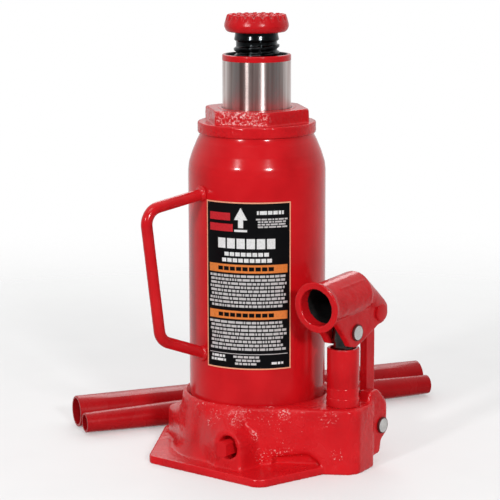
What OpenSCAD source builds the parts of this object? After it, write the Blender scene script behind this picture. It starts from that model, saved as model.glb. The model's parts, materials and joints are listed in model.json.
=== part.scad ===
// Hydraulic bottle jack: cast base, oil tank, ram with extension screw, lever pump and two-piece handle.
// The origin is on the ram's axis at the floor. +X points to the pump, -Y is the side of the handle socket.

/* [Base] */
// Height of the cast base, up to the deck the tank stands on
base_h = 37; // [36.5:0.5:39]
// Thickness of the foot plate
foot_t = 4.5; // [4:0.5:6]
// Radius of the round boss under the tank, at its top
boss_r = 42.5; // [41:0.5:43]

/* [Tank and cylinder] */
// Outer radius of the oil tank
tank_r = 38.5; // [38:0.5:39]
// Wall thickness of the oil tank
tank_wall = 2.5; // [2:0.25:3]
// Outer radius of the lifting cylinder inside the tank
cyl_r = 25; // [24.5:0.25:25.5]
// Radius of the lifting cylinder's bore
cyl_bore = 20.5; // [20.2:0.1:20.8]

/* [Ram and screw] */
// Radius of the lifting ram
ram_r = 19.1; // [18.5:0.1:19.2]
// How far the ram stands above its lowest place
ram_out = 25; // [20:1:30]
// Radius of the extension screw over its thread
screw_r = 12.7; // [12:0.1:13]
// Gap between the ram's top and the saddle's underside
screw_out = 12.2; // [10:0.2:14]
// Radius of the saddle
saddle_r = 18; // [17:0.5:19]

/* [Lever pump] */
// Distance from the ram's axis to the pump's axis
pump_x = 60.1; // [59.7:0.1:60.5]
// Radius of the pump plunger
plunger_r = 5.5; // [5:0.1:5.8]
// Height of the pin that joins the lever to the plunger
plunger_pin_z = 79; // [78.5:0.25:79.5]
// Distance from the pump's axis back to the link
link_y = 23; // [22.5:0.25:23.5]
// Height of the link's lower pin
link_low_z = 21.8; // [21.5:0.1:22.2]
// Height of the link's upper pin
link_top_z = 86.4; // [86:0.2:87]
// Radius of the handle socket's bore
socket_bore = 10.3; // [10:0.1:10.5]
// Nose-down tilt of the handle socket at its lowest place, in degrees
socket_tilt = 4.3; // [3:0.1:6]

/* [Loose handle] */
// Outer radius of the larger handle tube
wide_tube_r = 9.3; // [9:0.1:9.5]
// Outer radius of the smaller handle tube in the middle
slim_tube_r = 7.2; // [7:0.1:7.4]
// Length of each handle tube
handle_len = 228; // [200:2:240]

/* [Hidden] */
$fn = 96;
eps = 0.05;              // working clearance of a shaft in its hole
red = "firebrick";

// Heights on the main axis
seat_z = 21;             // floor of the recess that the cylinder stands in
nut_z = 184.2;           // underside of the tank nut's flange
flange_top_z = 190.6;    // top of the round flange, where the hexagon starts
nut_top_z = 198.3;       // top of the hexagon
cyl_top_z = 189.2;       // top of the lifting cylinder
piston_z = 28 + ram_out; // underside of the ram
ram_top_z = piston_z + 174.8;
saddle_z = ram_top_z + screw_out;
saddle_h = 9.8;          // height of the saddle
screw_low_z = saddle_z - 107; // lower end of the extension screw

// Pump linkage
pin_r = 3;               // radius of the three linkage pins
link_half = 2.3;         // half the link's thickness
ear_in = 2.6;            // inner faces of the base ears, from the pump's axis
ear_out = 10.3;          // outer faces of the base ears
cheek_in = 5;            // inner faces of the lever's cheeks
cheek_out = 8.9;         // outer faces of the lever's cheeks
mouth = [-25.9, 96.1];    // centre of the socket's mouth, along Y and Z
socket_r = 12;           // outside of the socket tube
socket_len = 37;         // length of the socket tube
socket_depth = 34;       // depth of its bore
collar_r = 14.15;        // outside of the ring round its mouth
collar_len = 5;          // width of that ring

// Valves
valve_x = 18.5;          // release valve's axis, across
valve_z = 16.6;          // release valve's axis, height
valve_face_y = -51;      // front face of the valve boss
valve_reach = 4.8;       // the flats of the release valve stand out of the boss this far
ball_r = 2.5;            // discharge and overload balls
check_x = 12;            // discharge valve's axis; the overload valve is at -check_x
return_r = 31;           // radius of the circle of passages into the tank

// Carry handle, as radius from the main axis and height, at its own angle round the tank
grip_angle = 256.3;
grip_rod_r = 3.2;
grip_bend_r = 9;
grip_join_r = 3.25;      // ball that fuses a bend to the leg beside it
grip_path = [[37.2, 153.2], [76.9, 147.4], [67.6, 74.6], [37.2, 63]];

// Label
label_angle = -60.4;     // middle of the label
label_half = 36.8;       // half the angle that it covers
label_z = [57.1, 150.5]; // lower and upper edges
label_t = 0.2;

// Loose handle tubes: middle of each on the floor, and the way both point
wide_tube_at = [-60.1, 72.2];
slim_tube_at = [-45.2, 62.6];
wide_tube_turn = 60.2;
slim_tube_turn = 61;

function unit(v) = v / norm(v);
// Corner i of an outline rounded to radius r, as points on the arc
function corner(p, i, r) =
  let (n = len(p), a = unit(p[(i + n - 1) % n] - p[i]), b = unit(p[(i + 1) % n] - p[i]),
       half = acos(a * b) / 2, c = p[i] + unit(a + b) * r / sin(half),
       s = p[i] + a * r / tan(half) - c, e = p[i] + b * r / tan(half) - c,
       t0 = atan2(s[1], s[0]), t = atan2(e[1], e[0]) - t0, sweep = t > 180 ? t - 360 : t < -180 ? t + 360 : t)
  [for (k = [0 : 6]) c + r * [cos(t0 + sweep * k / 6), sin(t0 + sweep * k / 6)]];
function rounded(p, radii) = [for (i = [0 : len(p) - 1]) each corner(p, i, radii[i % len(radii)])];

module tube(r_out, r_in, z0, z1) {
  translate([0, 0, z0]) difference() {
    cylinder(r = r_out, h = z1 - z0);
    translate([0, 0, -1]) cylinder(r = r_in, h = z1 - z0 + 2);
  }
}
module rod(r, z0, z1) { translate([0, 0, z0]) cylinder(r = r, h = z1 - z0); }
// A rod along X, centred on the pump's axis
module cross_rod(r, x0, x1, y, z) {
  translate([pump_x + x0, y, z]) rotate([0, 90, 0]) cylinder(r = r, h = x1 - x0);
}
// A plate in the YZ plane from an outline of [y, z] points, between x0 and x1 from the pump's axis
module side_plate(outline, x0, x1) {
  translate([pump_x + x0, 0, 0]) rotate([90, 0, 90]) linear_extrude(x1 - x0) polygon(outline);
}

module foot_plate() {
  outline = [[-65.5, -5], [-32.5, -58], [46.5, -58], [58.5, -16],
    [58.5, 16], [46.5, 58], [-32.5, 58], [-65.5, 5]];
  linear_extrude(foot_t) polygon(rounded(outline, [5, 5, 8, 4, 4, 8, 5, 5]));
}
module pump_block() {
  outline = [[10, -36], [23.1, -37.6], [70.6, -8.6], [73.6, -3], [71.4, 14.4], [23.1, 37.6], [10, 36]];
  linear_extrude(base_h) polygon(rounded(outline, [1, 1, 5, 4, 3, 1, 1]));
}
module left_lobe() {
  linear_extrude(21) polygon(rounded([[-56, -14], [-27, -36], [-27, 36], [-56, 14]], [8, 1, 1, 8]));
}
module valve_boss() {
  translate([valve_x, valve_face_y, valve_z]) rotate([-90, 0, 0]) cylinder(r = 9.4, h = 20);
  translate([valve_x - 9.4, valve_face_y, 0]) cube([18.8, 20, valve_z]);
}
module base_ears() {
  outline = [[10, 5.5], [22, 6], [23, 13], [28.5, 17], [28.5, 34.5], [20, 43], [12.5, 43], [10, 36]];
  for (side = [-ear_out, ear_in])
    side_plate(rounded(outline, [1, 2, 2, 2, 3, 2, 1, 1]), side, side + ear_out - ear_in);
  side_plate([[10, 5.5], [22, 6], [23, 13], [10, 13]], -ear_in - 1, ear_in + 1);
}
module passages() {
  rod(cyl_r, seat_z, base_h + 1);
  tube(tank_r + eps, tank_r - tank_wall - eps, base_h - 4, base_h + 1);
  translate([pump_x, 0, 0]) {
    rod(7.5, 14.5, base_h + 1);
    rod(6.4, 12.5, 15);
    rod(3.3, 8.5, 13);
    rod(1.6, 5, 9);
  }
  translate([return_r, 0, 5]) rotate([0, 90, 0]) cylinder(r = 1.6, h = pump_x - return_r);
  translate([return_r, 0, 0]) rod(1.6, 3.6, base_h + 1);
  translate([check_x, 0, 0]) {
    rod(4, 10.5, seat_z + 1);
    rod(1.6, 6, 11);
  }
  discharge_passage();
  translate([-check_x, 0, 0]) {
    rod(4, -1, 15.5);
    rod(1.6, 15, seat_z + 1);
  }
  translate([-return_r, 0, 9.6]) rotate([0, 90, 0]) cylinder(r = 1.6, h = return_r - check_x);
  translate([-return_r, 0, 0]) rod(1.6, 8, base_h + 1);
  translate([valve_x, valve_face_y, valve_z]) rotate([-90, 0, 0]) {
    translate([0, 0, -1]) cylinder(r = 6.2, h = 9);
    cylinder(r = 4.6, h = 27);
    cylinder(r = 1.6, h = 38);
  }
  translate([valve_x, -24.9, 0]) rod(1.6, valve_z, base_h + 1);
  cross_rod(pin_r + 0.02, -ear_out - 1, ear_out + 1, link_y, link_low_z);
  cross_rod(5.3, -ear_out - 3.5, -ear_out, link_y, link_low_z); // spot face for the clip
  side_plate([[14.8, 14.8], [40, 14.8], [40, 50], [14.8, 50]], -ear_in, ear_in);
}
// The sloping passage from the pump chamber down to the discharge valve's seat
module discharge_passage() {
  rise = 6.2;
  run = pump_x - 4 - check_x;
  translate([check_x, 0, 6.8]) rotate([0, 90 - atan(rise / run), 0]) cylinder(r = 1.6, h = norm([rise, run]));
}
// The wall between the valve boss and the pump stands clear of the foot plate
module side_undercut() {
  length = 41;
  depth = 4.5;
  translate([23.1, -37.6, 0]) rotate([0, 0, 31.4]) translate([0, depth, 0]) rotate([90, 0, 0])
    linear_extrude(depth + 30) polygon([[5, foot_t], [length, foot_t], [length - 8, 11], [5, 8]]);
}
module base_casting() {
  color(red) difference() {
    union() {
      foot_plate();
      cylinder(r1 = boss_r + 3, r2 = boss_r, h = base_h);
      pump_block();
      left_lobe();
      valve_boss();
      base_ears();
    }
    passages();
    side_undercut();
  }
}

module tank_base_gasket() { color("black") tube(tank_r, tank_r - tank_wall, base_h - 4, base_h - 3); }
module oil_tank() {
  r = tank_r;
  w = tank_wall;
  outer = [[r, base_h - 3], [r, 162.5], [r - 0.6, 168], [r - 2.6, 174], [r - 5, 180], [r - 6.5, nut_z - 1]];
  inner = [[r - 9.5, nut_z - 1], [r - 7.5, 178.5], [r - 4.8, 172], [r - w - 0.4, 167],
    [r - w, 162.5], [r - w, base_h - 3]];
  color(red) difference() {
    rotate_extrude() polygon(concat(outer, inner));
    filler_place() translate([0, 0, -4]) cylinder(r = 4.5, h = 9, $fn = 48);
  }
}
module filler_place() { rotate([0, 0, 120]) translate([tank_r, 0, 140]) rotate([0, 90, 0]) children(); }
module oil_filler_plug() {
  color("black") filler_place() {
    translate([0, 0, 0.15]) cylinder(r1 = 6.4, r2 = 5.6, h = 1.8, $fn = 48);
    translate([0, 0, -2.6]) cylinder(r = 4.45, h = 3, $fn = 48);
    translate([0, 0, -4.2]) cylinder(r1 = 4.1, r2 = 4.4, h = 1.7, $fn = 48);
  }
}
module tank_top_gasket() { color("black") tube(31.6, 28.7, nut_z - 1, nut_z); }
module cylinder_gasket() { color("peru") tube(cyl_r - 0.1, cyl_bore, seat_z, seat_z + 1); }
module lifting_cylinder() { color("silver") tube(cyl_r, cyl_bore, seat_z + 1, cyl_top_z); }
module tank_nut() {
  color(red) difference() {
    union() {
      rod(28.5, 176, nut_z);
      rod(33, nut_z, flange_top_z);
      rotate([0, 0, 19.2]) intersection() {
        translate([0, 0, flange_top_z]) cylinder(r = 30.6, h = nut_top_z - flange_top_z, $fn = 6);
        translate([0, 0, flange_top_z]) cylinder(r1 = 40, r2 = 29, h = nut_top_z - flange_top_z);
      }
    }
    rod(cyl_r, 175, cyl_top_z);
    rod(ram_r + eps, 180, nut_top_z + 1);
    rod(21.6, 189, 192.2);
    rod(21.2, 195, nut_top_z + 1);
  }
}
module ram_seal() { color("black") tube(21.5, ram_r + eps, 189.4, 192); }
module ram_wiper() { color("black") tube(21.1, ram_r + eps, 195.1, 197.9); }

module ram() {
  color("gainsboro") difference() {
    union() {
      rod(ram_r, piston_z + 5.5, ram_top_z - 0.8);
      translate([0, 0, ram_top_z - 0.8]) cylinder(r1 = ram_r, r2 = ram_r - 0.8, h = 0.8);
      rod(cyl_bore - eps, piston_z + 5.5, piston_z + 10.3);
      rod(16, piston_z, piston_z + 6);
    }
    rod(screw_r + 0.08, ram_top_z - 20, ram_top_z + 1);
    rod(15, piston_z + 67, ram_top_z - 14);
    translate([0, 0, ram_top_z - 1.8]) cylinder(r = 17.3, h = 3);
    rod(3, piston_z - 1, piston_z + 16);
  }
}
module piston_cup() { color("black") tube(cyl_bore - eps, 16, piston_z + 0.2, piston_z + 5.5); }
module piston_washer() { color("silver") tube(17.5, 3.1, piston_z - 2.2, piston_z); }
module piston_screw() {
  color("dimgray") {
    translate([0, 0, piston_z - 5.4]) cylinder(r = 5.6, h = 3.2, $fn = 6);
    rod(2.95, piston_z - 2.3, piston_z + 15);
  }
}
module screw_stop_ring() { color("dimgray") tube(14.6, 11.2, screw_low_z + 2.1, screw_low_z + 4.9); }
module extension_screw() {
  color("black") {
    rod(screw_r, screw_low_z + 5, saddle_z - 5.4);
    rod(11.1, screw_low_z + 1.5, screw_low_z + 5.5);
    rod(screw_r, screw_low_z, screw_low_z + 2);
    rod(11.3, saddle_z - 6, saddle_z);
    rod(8, saddle_z - 1, saddle_z + 6);
  }
}
module saddle() {
  top = saddle_z + saddle_h;
  color(red) difference() {
    union() {
      translate([0, 0, saddle_z]) cylinder(r1 = saddle_r - 2.5, r2 = saddle_r, h = 2.5);
      rod(saddle_r, saddle_z + 2.5, top - 2.5);
      translate([0, 0, top - 2.5]) cylinder(r1 = saddle_r, r2 = saddle_r - 2, h = 2.5);
    }
    rod(8, saddle_z - 1, saddle_z + 6);
  }
}
// A straight length of the grip's rod in the plane of radius and height
module grip_leg(a, b) {
  translate([a[0], 0, a[1]]) rotate([0, atan2(b[0] - a[0], b[1] - a[1]), 0])
    cylinder(r = grip_rod_r, h = norm(b - a), $fn = 48);
}
module grip_bend(i) {
  arc = corner(grip_path, i, grip_bend_r);
  a = unit(grip_path[i - 1] - grip_path[i]);
  b = unit(grip_path[i + 1] - grip_path[i]);
  turn = 180 - acos(a * b);
  c = grip_path[i] + unit(a + b) * grip_bend_r / sin(acos(a * b) / 2);
  first = arc[0] - c;
  translate([c[0], 0, c[1]]) rotate([90, 0, 0]) rotate([0, 0, atan2(first[1], first[0]) - turn])
    rotate_extrude(angle = turn) translate([grip_bend_r, 0]) circle(r = grip_rod_r, $fn = 48);
}
module carry_handle() {
  top = corner(grip_path, 1, grip_bend_r);
  low = corner(grip_path, 2, grip_bend_r);
  color(red) difference() {
    rotate([0, 0, grip_angle]) union() {
      grip_leg(grip_path[0], top[0]);
      grip_bend(1);
      grip_leg(top[6], low[0]);
      grip_bend(2);
      grip_leg(low[6], grip_path[3]);
      for (join = [top[0], top[6], low[0], low[6]])
        translate([join[0], 0, join[1]]) sphere(r = grip_join_r, $fn = 48);
    }
    cylinder(r = tank_r, h = 200);
  }
}
module label() {
  color("black") rotate([0, 0, label_angle - label_half]) rotate_extrude(angle = 2 * label_half)
    translate([tank_r, label_z[0]]) square([label_t, label_z[1] - label_z[0]]);
}

module pump_cylinder() {
  color(red) translate([pump_x, 0, 0]) difference() {
    union() {
      rod(7.45, 14.6, 38);
      rod(9.3, 38, 41.5);
      rod(9, 41.5, 68.6);
      translate([0, 0, 68.6]) cylinder(r1 = 9, r2 = 8.2, h = 0.9);
    }
    rod(plunger_r + eps, 14, 70);
    rod(7.3, 63.5, 70);
  }
}
module pump_gasket() { color("peru") translate([pump_x, 0, 0]) tube(9, 7.6, base_h, 38); }
module pump_seal() { color("black") translate([pump_x, 0, 0]) tube(7.25, plunger_r + eps, 63.6, 67.2); }
module pump_plunger() {
  head_y = 6.2;
  color("silver") difference() {
    union() {
      translate([pump_x, 0, 0]) difference() {
        rod(plunger_r, 17, 69.4);
        tube(plunger_r + 1, 4.2, 22, 24.6);
      }
      intersection() {
        translate([pump_x, 0, 0]) rod(6.2, 73.5, plunger_pin_z + 6);
        cross_rod(7.5, -4.1, 4.1, 0, plunger_pin_z - 1.8);
        translate([pump_x - 4.1, -head_y, 70]) cube([8.2, 2 * head_y, plunger_pin_z - 65.2]);
      }
      intersection() {
        translate([pump_x, 0, 0]) rod(plunger_r, 69, 75);
        translate([pump_x - 4.1, -head_y, 69]) cube([8.2, 2 * head_y, 6]);
      }
    }
    for (y = [-1.7 : 0.85 : 1.7]) cross_rod(pin_r + 0.25, -10, 10, y, plunger_pin_z);
  }
}
module plunger_oring() { color("black") translate([pump_x, 0, 0]) tube(plunger_r, 4.25, 22.1, 24.5); }

// A place along the socket's axis: s back from the mouth, t up from the axis, as [y, z]
function in_socket(s, t) =
  mouth + s * [cos(socket_tilt), sin(socket_tilt)] + t * [-sin(socket_tilt), cos(socket_tilt)];
module socket_frame() {
  translate([pump_x, mouth[0], mouth[1]]) rotate([-90 + socket_tilt, 0, 0]) children();
}
module lever_socket() {
  p = [0, plunger_pin_z];
  a = [link_y, link_top_z];
  cheek = [in_socket(6, -9), in_socket(11, -15), p + [-8.4, -3.6], p + [-6, -7], p + [0, -8.4],
    p + [5, -6.6], a + [-2, -6.9], a + [3.5, -6], a + [6.6, -1.5], a + [6, 3.5], a + [1.5, 6.8],
    in_socket(socket_len - 1, 3), in_socket(socket_len - 3, 9), in_socket(12, 9)];
  color(red) difference() {
    union() {
      socket_frame() cylinder(r = socket_r, h = socket_len);
      socket_frame() cylinder(r = collar_r, h = collar_len);
      for (side = [-cheek_out, cheek_in]) side_plate(cheek, side, side + cheek_out - cheek_in);
    }
    socket_frame() translate([0, 0, -1]) cylinder(r = socket_bore, h = socket_depth + 1);
    cross_rod(pin_r + 0.02, -20, 20, p[0], p[1]);
    cross_rod(pin_r + 0.02, -20, 20, a[0], a[1]);
    cross_rod(7.3, -link_half - 0.7, link_half + 0.7, a[0], a[1]);
  }
}
module headed_pin(y, z, half, head) {
  color("silver") {
    cross_rod(pin_r, -half - 2.2, half, y, z);
    cross_rod(head, half, half + 1.4, y, z);
  }
}
module pin_clip(y, z, half) {
  color("dimgray") difference() {
    cross_rod(4.6, -half - 1.5, -half - 0.4, y, z);
    cross_rod(pin_r, -half - 3, -half + 1, y, z);
  }
}
module plunger_pin() { headed_pin(0, plunger_pin_z, cheek_out, 4.6); }
module plunger_pin_clip() { pin_clip(0, plunger_pin_z, cheek_out); }
module link_top_pin() { headed_pin(link_y, link_top_z, cheek_out, 5); }
module link_top_clip() { pin_clip(link_y, link_top_z, cheek_out); }
module link_base_pin() { headed_pin(link_y, link_low_z, ear_out, 4.6); }
module link_base_clip() { pin_clip(link_y, link_low_z, ear_out); }
module pump_link() {
  bar = [[link_y - 3.8, link_low_z], [link_y + 3.8, link_low_z],
    [link_y + 3.8, link_top_z], [link_y - 3.8, link_top_z]];
  color(red) difference() {
    union() {
      side_plate(bar, -link_half, link_half);
      cross_rod(5.8, -link_half, link_half, link_y, link_low_z);
      cross_rod(6, -link_half, link_half, link_y, link_top_z);
    }
    for (z = [link_low_z, link_top_z]) cross_rod(pin_r + eps, -10, 10, link_y, z);
  }
}

module valve_frame() { translate([valve_x, valve_face_y, valve_z]) rotate([-90, 0, 0]) children(); }
module release_valve() {
  color("darkred") valve_frame() difference() {
    union() {
      translate([0, 0, -valve_reach]) cylinder(r = 4.5, h = 20.6 + valve_reach);
      translate([0, 0, 20.6]) cylinder(r1 = 4.4, r2 = 1.8, h = 3);
    }
    for (side = [-1, 1]) translate([side * 6.2 - 3, -6, -valve_reach - 1]) cube([6, 12, valve_reach + 6.8]);
    difference() {
      translate([0, 0, 10]) cylinder(r = 6, h = 2.2);
      translate([0, 0, 9]) cylinder(r = 3.2, h = 4);
    }
  }
}
module release_valve_oring() {
  color("black") valve_frame() translate([0, 0, 10.1]) difference() {
    cylinder(r = 4.55, h = 2);
    translate([0, 0, -1]) cylinder(r = 3.25, h = 4);
  }
}
module release_ball() {
  color("silver") translate([valve_x, valve_face_y + 25.8, valve_z]) sphere(r = 2, $fn = 48);
}
module suction_ball() { color("silver") translate([pump_x, 0, 11.1]) sphere(r = 3, $fn = 48); }
module discharge_ball() { color("silver") translate([check_x, 0, 12.5]) sphere(r = ball_r, $fn = 48); }
module discharge_spring() { color("dimgray") translate([check_x, 0, 0]) tube(2.5, 1.7, 15.1, 19); }
module discharge_stop() { color("dimgray") translate([check_x, 0, 0]) tube(3.95, 1.5, 19.1, 20.9); }
module overload_ball() { color("silver") translate([-check_x, 0, 13.5]) sphere(r = ball_r, $fn = 48); }
module overload_spring() { color("dimgray") translate([-check_x, 0, 0]) tube(2.5, 1.7, 4.7, 10.9); }
module overload_screw() { color("dimgray") translate([-check_x, 0, 0]) rod(3.95, 0.6, 4.6); }

// A handle tube along X, with both ends drawn in to end_r over the length of the neck
module handle_tube(r, wall, end_r, neck) {
  h = handle_len / 2;
  color(red) rotate([0, 90, 0]) rotate_extrude()
    polygon([[end_r, -h], [r, -h + neck], [r, h - neck], [end_r, h], [end_r - wall, h], [end_r - wall, -h]]);
}
module handle_wide_tube() {
  translate([wide_tube_at[0], wide_tube_at[1], wide_tube_r]) rotate([0, 0, wide_tube_turn])
    handle_tube(wide_tube_r, 1.4, wide_tube_r, 20);
}
module handle_slim_tube() {
  translate([slim_tube_at[0], slim_tube_at[1], slim_tube_r]) rotate([0, 0, slim_tube_turn])
    handle_tube(slim_tube_r, 1.2, slim_tube_r - 1.3, 57);
}

base_casting();
tank_base_gasket();
oil_tank();
tank_top_gasket();
lifting_cylinder();
cylinder_gasket();
tank_nut();
ram_seal();
ram_wiper();
ram();
piston_cup();
piston_washer();
piston_screw();
screw_stop_ring();
extension_screw();
saddle();
carry_handle();
label();
oil_filler_plug();
pump_cylinder();
pump_gasket();
pump_seal();
pump_plunger();
plunger_oring();
lever_socket();
plunger_pin();
plunger_pin_clip();
link_top_pin();
link_top_clip();
pump_link();
link_base_pin();
link_base_clip();
release_valve();
release_valve_oring();
release_ball();
suction_ball();
discharge_ball();
discharge_spring();
discharge_stop();
overload_ball();
overload_spring();
overload_screw();
handle_wide_tube();
handle_slim_tube();
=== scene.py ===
import json
import math
import random

import bmesh
import bpy
import numpy as np
from mathutils import Matrix, Vector, noise


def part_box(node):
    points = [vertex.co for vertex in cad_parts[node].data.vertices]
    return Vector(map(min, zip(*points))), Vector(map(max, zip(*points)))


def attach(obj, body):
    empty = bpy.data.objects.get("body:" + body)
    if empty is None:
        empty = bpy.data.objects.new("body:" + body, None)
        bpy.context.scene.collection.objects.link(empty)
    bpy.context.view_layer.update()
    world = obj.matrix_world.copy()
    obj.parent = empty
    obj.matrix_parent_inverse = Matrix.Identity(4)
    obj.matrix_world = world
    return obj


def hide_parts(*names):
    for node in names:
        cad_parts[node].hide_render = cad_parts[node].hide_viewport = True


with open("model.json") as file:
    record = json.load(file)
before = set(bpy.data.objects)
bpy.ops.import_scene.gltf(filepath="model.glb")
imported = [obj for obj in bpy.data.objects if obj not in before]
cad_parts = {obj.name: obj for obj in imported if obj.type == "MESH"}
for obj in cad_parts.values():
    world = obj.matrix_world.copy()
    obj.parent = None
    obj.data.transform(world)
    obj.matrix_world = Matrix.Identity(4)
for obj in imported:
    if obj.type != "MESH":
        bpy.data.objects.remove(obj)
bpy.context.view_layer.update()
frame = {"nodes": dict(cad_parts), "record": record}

# Shapes are given in millimetres in the frame of the CAD model, and piece() turns them into metres.
MM = 0.001


def box(node):
    """Lowest and highest corner of a CAD node, in millimetres."""
    low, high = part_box(node)
    return low / MM, high / MM


def middle(node):
    low, high = box(node)
    return (low + high) / 2


# ---------------------------------------------------------------- places and sizes from the frame

tank_low, tank_high = box("oil_tank")
tank_r = tank_high.x
film_r = tank_r + 0.2  # the face of the label
deck = box("pump_gasket")[0].z  # the base's upper face, which the pump and the tank stand on
nut_top = box("tank_nut")[1].z
flange_r = box("tank_nut")[1].x
flange_z = box("tank_top_gasket")[1].z
flange_top = flange_z + 6.4
ram_low, ram_high = box("ram")
ram_r = ram_high.x - 1.35  # the ram's head, at its lower end, is that much wider
ram_top = ram_high.z
saddle_low, saddle_high = box("saddle")
saddle_r = saddle_high.x
screw_low, screw_high = box("extension_screw")
screw_r = screw_high.x
pump = middle("pump_plunger")
pump_low, pump_high = box("pump_cylinder")
valve = middle("release_valve")
valve_reach = 4.8  # how far the release valve's flats stand out of the boss
boss_face_y = box("release_valve")[0].y + valve_reach
label_low, label_high = box("label")
top_pin = middle("link_top_pin")
mounts = {mount["name"]: mount for mount in frame["record"]["mounts"]}


# ---------------------------------------------------------------- mesh helpers

def rounded(points, radius, steps=5):
    """The line with its inner corners turned into arcs. radius is one number, or one for each point."""
    count = len(points)
    radii = radius if isinstance(radius, (list, tuple)) else [radius] * count
    line = []
    for i, point in enumerate(points):
        here = Vector(point)
        if radii[i] <= 0 or i in (0, count - 1):
            line.append(tuple(here))
            continue
        before = Vector(points[i - 1]) - here
        after = Vector(points[i + 1]) - here
        half = before.angle(after) / 2
        reach = min(radii[i] / math.tan(half), 0.48 * before.length, 0.48 * after.length)
        start = here + before.normalized() * reach
        end = here + after.normalized() * reach
        for k in range(steps + 1):
            t = k / steps
            line.append(tuple((1 - t) ** 2 * start + 2 * t * (1 - t) * here + t * t * end))
    return line


def add_lathe(bm, profile, matrix=Matrix(), segments=96, closed=True):
    """Turns (radius, height) points round Z. A closed profile is a ring; an open one ends on the axis."""
    rings = []
    for r, z in profile:
        if r < 1e-6:
            rings.append([bm.verts.new(matrix @ Vector((0, 0, z)))])
            continue
        turn = [2 * math.pi * k / segments for k in range(segments)]
        rings.append([bm.verts.new(matrix @ Vector((r * math.cos(a), r * math.sin(a), z))) for a in turn])
    pairs = list(zip(rings, rings[1:]))
    if closed:
        pairs.append((rings[-1], rings[0]))
    for lower, upper in pairs:
        for k in range(segments):
            corners = [lower[k % len(lower)], lower[(k + 1) % len(lower)],
                       upper[(k + 1) % len(upper)], upper[k % len(upper)]]
            corners = list(dict.fromkeys(corners))
            if len(corners) > 2:
                bm.faces.new(corners)


def along_x(x, y, z):
    """A matrix that lays a shape built round Z along +X, at that place."""
    return Matrix.Translation((x, y, z)) @ Matrix.Rotation(math.pi / 2, 4, "Y")


def piece(name, bm):
    """A new object from a mesh that was built in millimetres."""
    bmesh.ops.recalc_face_normals(bm, faces=bm.faces)
    mesh = bpy.data.meshes.new(name)
    bm.to_mesh(mesh)
    bm.free()
    mesh.transform(Matrix.Scale(MM, 4))
    made = bpy.data.objects.new(name, mesh)
    bpy.context.scene.collection.objects.link(made)
    return made


def copy_of(name, node):
    """A new object with a copy of a CAD node's mesh, as the stock that a detailed piece is worked from."""
    made = bpy.data.objects.new(name, frame["nodes"][node].data.copy())
    bpy.context.scene.collection.objects.link(made)
    return made


def settle(made):
    """Makes the result of the modifiers the object's own mesh."""
    graph = bpy.context.evaluated_depsgraph_get()
    mesh = bpy.data.meshes.new_from_object(made.evaluated_get(graph))
    made.modifiers.clear()
    made.data = mesh


def add_to(made, bm):
    """Joins a mesh built in millimetres to the object."""
    bmesh.ops.recalc_face_normals(bm, faces=bm.faces)
    bmesh.ops.transform(bm, matrix=Matrix.Scale(MM, 4), verts=bm.verts)
    bm.from_mesh(made.data)
    bm.to_mesh(made.data)
    bm.free()


def absorb(made, other):
    """Joins the other object's mesh to the object, and takes the other object away."""
    bm = bmesh.new()
    bm.from_mesh(made.data)
    bm.from_mesh(other.data)
    bm.to_mesh(made.data)
    bm.free()
    bpy.data.objects.remove(other)


def cut(made, bm):
    """Takes a mesh built in millimetres away from the object."""
    knife = piece("knife", bm)
    boolean = made.modifiers.new("cut", "BOOLEAN")
    boolean.operation = "DIFFERENCE"
    boolean.solver = "EXACT"
    boolean.use_self = True
    boolean.object = knife
    settle(made)
    bpy.data.objects.remove(knife)


def remesh(made, voxel, smoothing, strength=0.5):
    """Fuses overlapping shapes and rounds their edges."""
    fuse = made.modifiers.new("fuse", "REMESH")
    fuse.mode = "VOXEL"
    fuse.voxel_size = voxel * MM
    soften = made.modifiers.new("soften", "SMOOTH")
    soften.factor = strength
    soften.iterations = smoothing
    settle(made)


def points_of(made):
    """The places of the object's points, in millimetres, and their normals."""
    mesh = made.data
    places = np.empty(len(mesh.vertices) * 3, np.float32)
    normals = np.empty_like(places)
    mesh.vertices.foreach_get("co", places)
    mesh.vertices.foreach_get("normal", normals)
    return places.reshape(-1, 3) / MM, normals.reshape(-1, 3)


def move_points(made, places):
    made.data.vertices.foreach_set("co", (places * MM).ravel())
    made.data.update()


def roughen(made, depth, grain, share=None, seed=0.0):
    """Moves the surface in and out, as a sand casting's. share(place, normal) says how much, from 0 to 1."""
    places, normals = points_of(made)
    moved = places.copy()
    offset = Vector((seed, 3.1 * seed, 7.7 * seed))
    for i, place in enumerate(places):
        part = 1 if share is None else share(place, normals[i])
        if part > 0:
            height = noise.fractal(Vector(place) / grain + offset, 0.7, 2.0, 3)
            moved[i] += normals[i] * (part * depth * height)
    move_points(made, moved)


def finish_piece(made, body, looks, node, angle=35):
    """The piece gets its materials and its body, and the CAD node that it stands for is hidden.

    Edges sharper than the angle stay sharp. Without an angle all of it is smooth.
    """
    made.data.shade_smooth()
    if angle:
        made.data.set_sharp_from_angle(angle=math.radians(angle))
    made.data.materials.clear()
    for look in looks:
        made.data.materials.append(look)
    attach(made, body)
    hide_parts(node)


def assign(made, choose):
    """Gives each face the material whose number choose(centre, normal) returns, in millimetres."""
    for face in made.data.polygons:
        face.material_index = choose(face.center / MM, face.normal)


# ---------------------------------------------------------------- materials

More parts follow.
